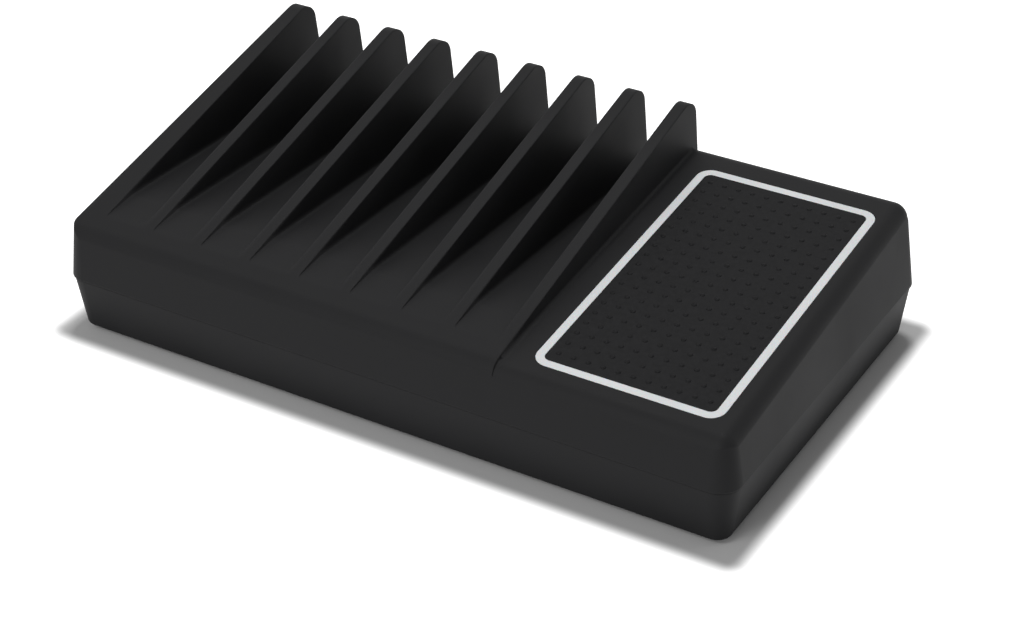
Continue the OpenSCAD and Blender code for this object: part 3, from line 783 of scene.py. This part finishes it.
# %% Zinc-plated screws
zinc = finish(
    "zinc_plated_steel",
    tones=("#a7abb0", "#b9bdc1"),
    roughness=(0.3, 0.45),
    grain_mm=0.3,
    grain_depth_mm=0.006,
    edge_mm=0.12,
    edge_tone="#d0d3d6",
    Metallic=1.0,
)
dress(zinc, "housing_screws", "power_board_screws", "port_board_screws", "light_board_screws")
bare = [name for name, node in nodes.items() if not any(m and m.use_nodes for m in node.data.materials)]
print("nodes without a finish:", bare)

# %% [markdown]
# The camera stands where the photographer's stood. Its angles, its distance and its lens were
# fitted to the corners and edges of the object in the photograph. The picture is 1024 pixels wide.

# %% Camera
image_width = 1024
sensor_mm = 36
nearest = 50 * MM
focal_pixels = 2241.25
azimuth, elevation, roll = math.radians(31.58), math.radians(32.87), math.radians(-1.06)
target = Vector((11.28, 0, 9.63)) * MM
distance = 965.4 * MM
towards = Vector(
    (
        math.sin(azimuth) * math.cos(elevation),
        -math.cos(azimuth) * math.cos(elevation),
        math.sin(elevation),
    )
)
level_right = (-towards).cross(Vector((0, 0, 1))).normalized()
level_up = level_right.cross(-towards)
right = math.cos(roll) * level_right + math.sin(roll) * level_up
up = math.cos(roll) * level_up - math.sin(roll) * level_right
camera_data = bpy.data.cameras.new("camera")
camera_data.sensor_width = sensor_mm
camera_data.lens = focal_pixels * sensor_mm / image_width
camera_data.clip_start = nearest
camera = bpy.data.objects.new("camera", camera_data)
camera.matrix_world = Matrix((right, up, towards)).transposed().to_4x4()
camera.location = target + distance * towards
bpy.context.scene.collection.objects.link(camera)
bpy.context.scene.camera = camera
print("lens", round(camera_data.lens, 1), "mm at", [round(c, 3) for c in camera.location])

# %% [markdown]
# The object stands on white paper under a white sky. The lights alone would leave the paper a
# little grey and uneven, so for the rays that show it, from the camera or by way of a gloss or
# glass, it glows with a strength of up to 1, which is white. The glow starts a little way outside
# the housing and is full a centimetre further out, so the shadow at its foot stays. All other
# rays meet plain white paper, which throws light up onto the walls.

# %% Floor
floor_half = 3
floor_mesh = bpy.data.meshes.new("floor")
floor_mesh.from_pydata([(x, y, 0) for x, y in ((-1, -1), (1, -1), (1, 1), (-1, 1))], [], [(0, 1, 2, 3)])
floor_mesh.transform(Matrix.Diagonal((floor_half, floor_half, 1, 1)))
floor = bpy.data.objects.new("floor", floor_mesh)
bpy.context.scene.collection.objects.link(floor)
floor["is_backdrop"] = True
print("floor", 2 * floor_half, "m square")

# %% Paper
# Near the object the glow adds to the paper's own light, so the shown tone is a little darker
paper_seen, paper_bounced = "#cccccc", "#ececec"
paper_roughness = 0.95
paper = bpy.data.materials.new("white_paper_sweep")
paper.use_nodes = True
tree = paper.node_tree
shader = tree.nodes["Principled BSDF"]
shader.inputs["Roughness"].default_value = paper_roughness
shader.inputs["Specular IOR Level"].default_value = 0.0
shader.inputs["Emission Color"].default_value = (1, 1, 1, 1)


def seen_directly(tree):
    """1 for the camera's rays and for those that glass, metal or a gloss passes on, else 0."""
    rays = add(tree, "ShaderNodeLightPath").outputs
    total = rays["Is Camera Ray"]
    for kind in ("Is Glossy Ray", "Is Transmission Ray"):
        total = add(tree, "ShaderNodeMath", {0: total, 1: rays[kind]}, operation="MAXIMUM").outputs[0]
    return total


seen = seen_directly(tree)
tone = add(
    tree,
    "ShaderNodeMix",
    {"Factor": seen, MIX_A: linear(paper_bounced), MIX_B: linear(paper_seen)},
    data_type="RGBA",
)
tree.links.new(tone.outputs[MIX_OUT], shader.inputs["Base Color"])
floor_mesh.materials.append(paper)
print(paper.name, "is", paper_seen, "to the camera and", paper_bounced, "to the object")

# %% Glow of the paper
# The distance to the housing's footprint, which is a rectangle round the origin
fade_start, fade_end = 2 * MM, 12 * MM
half_size = (cad_box[1] - cad_box[0]) / 2
place = add(tree, "ShaderNodeTexCoord").outputs["Object"]
mirrored = add(tree, "ShaderNodeVectorMath", {0: place}, operation="ABSOLUTE").outputs["Vector"]
beyond = add(
    tree, "ShaderNodeVectorMath", {0: mirrored, 1: (half_size.x, half_size.y, 0)}, operation="SUBTRACT"
).outputs["Vector"]
outside = add(
    tree, "ShaderNodeVectorMath", {0: beyond, 1: (0, 0, 0)}, operation="MAXIMUM"
).outputs["Vector"]
away = add(tree, "ShaderNodeVectorMath", {0: outside}, operation="LENGTH").outputs["Value"]
lift = add(
    tree,
    "ShaderNodeMapRange",
    {"Value": away, "From Min": fade_start, "From Max": fade_end},
    interpolation_type="SMOOTHSTEP",
)
glow = add(tree, "ShaderNodeMath", {0: lift.outputs["Result"], 1: seen}, operation="MULTIPLY")
tree.links.new(glow.outputs[0], shader.inputs["Emission Strength"])
print("glow grows from", round(fade_start / MM), "to", round(fade_end / MM), "mm off the housing")

# %% [markdown]
# The light is plain: a soft key hangs over the object, a little behind and to the left, so that
# the short shadow falls to the front and the right. A softbox in front draws a broad, dim
# highlight along the front edge, a low one lights the front wall, and a weak one at the right
# lights the side. A dim white sky fills in the rest. The power of each lamp follows from its
# distance, so that a level of 1 lights white paper to white.

# %% Light
look_at = Vector((0, 0, 40 * MM))


def softbox(name, aim, away, size, level):
    """A square lamp that looks at the object from a direction. A lamp of some watts lights white
    paper to watts / (pi * distance) ** 2, and that is turned round here to find the watts."""
    light = bpy.data.lights.new(name, "AREA")
    light.shape = "SQUARE"
    light.size = size
    light.energy = level * math.pi**2 * away**2
    lamp = bpy.data.objects.new(name, light)
    direction = Vector(aim).normalized()
    lamp.location = look_at + away * direction
    lamp.rotation_euler = direction.to_track_quat("Z", "Y").to_euler()
    bpy.context.scene.collection.objects.link(lamp)
    print(name, "level", level, "->", round(light.energy, 1), "W")


softbox("key", (-0.06, 0.2, 1), away=1.7, size=0.3, level=0.38)
softbox("front", (-0.2, -1.0, 1.0), away=1.5, size=0.55, level=0.22)
softbox("low front", (0.0, -1.0, 0.25), away=1.5, size=0.8, level=0.36)
softbox("right", (1.0, 0.5, 0.6), away=1.5, size=0.7, level=0.06)

world_level = 0.22
world = bpy.data.worlds.new("studio")
world.use_nodes = True
bpy.context.scene.world = world
sky = world.node_tree
inputs = {"Value": seen_directly(sky), "To Min": world_level, "To Max": 1.0}
level = add(sky, "ShaderNodeMapRange", inputs)
sky.links.new(level.outputs["Result"], sky.nodes["Background"].inputs["Strength"])
sky.nodes["Background"].inputs["Color"].default_value = (1, 1, 1, 1)
print("sky level", world_level)

# %% [markdown]
# The picture is shown as it is: the Standard view keeps each colour where the materials put it.
# Last, the size of the dressed model is written beside the size of the solids.

# %% Sizes and finish
bpy.context.scene.view_settings.view_transform = "Standard"
dressed_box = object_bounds()
for corner, before, after in zip(("low", "high"), cad_box, dressed_box):
    print(corner, "corner moved by", [round((b - a) / MM, 2) for a, b in zip(before, after)], "mm")
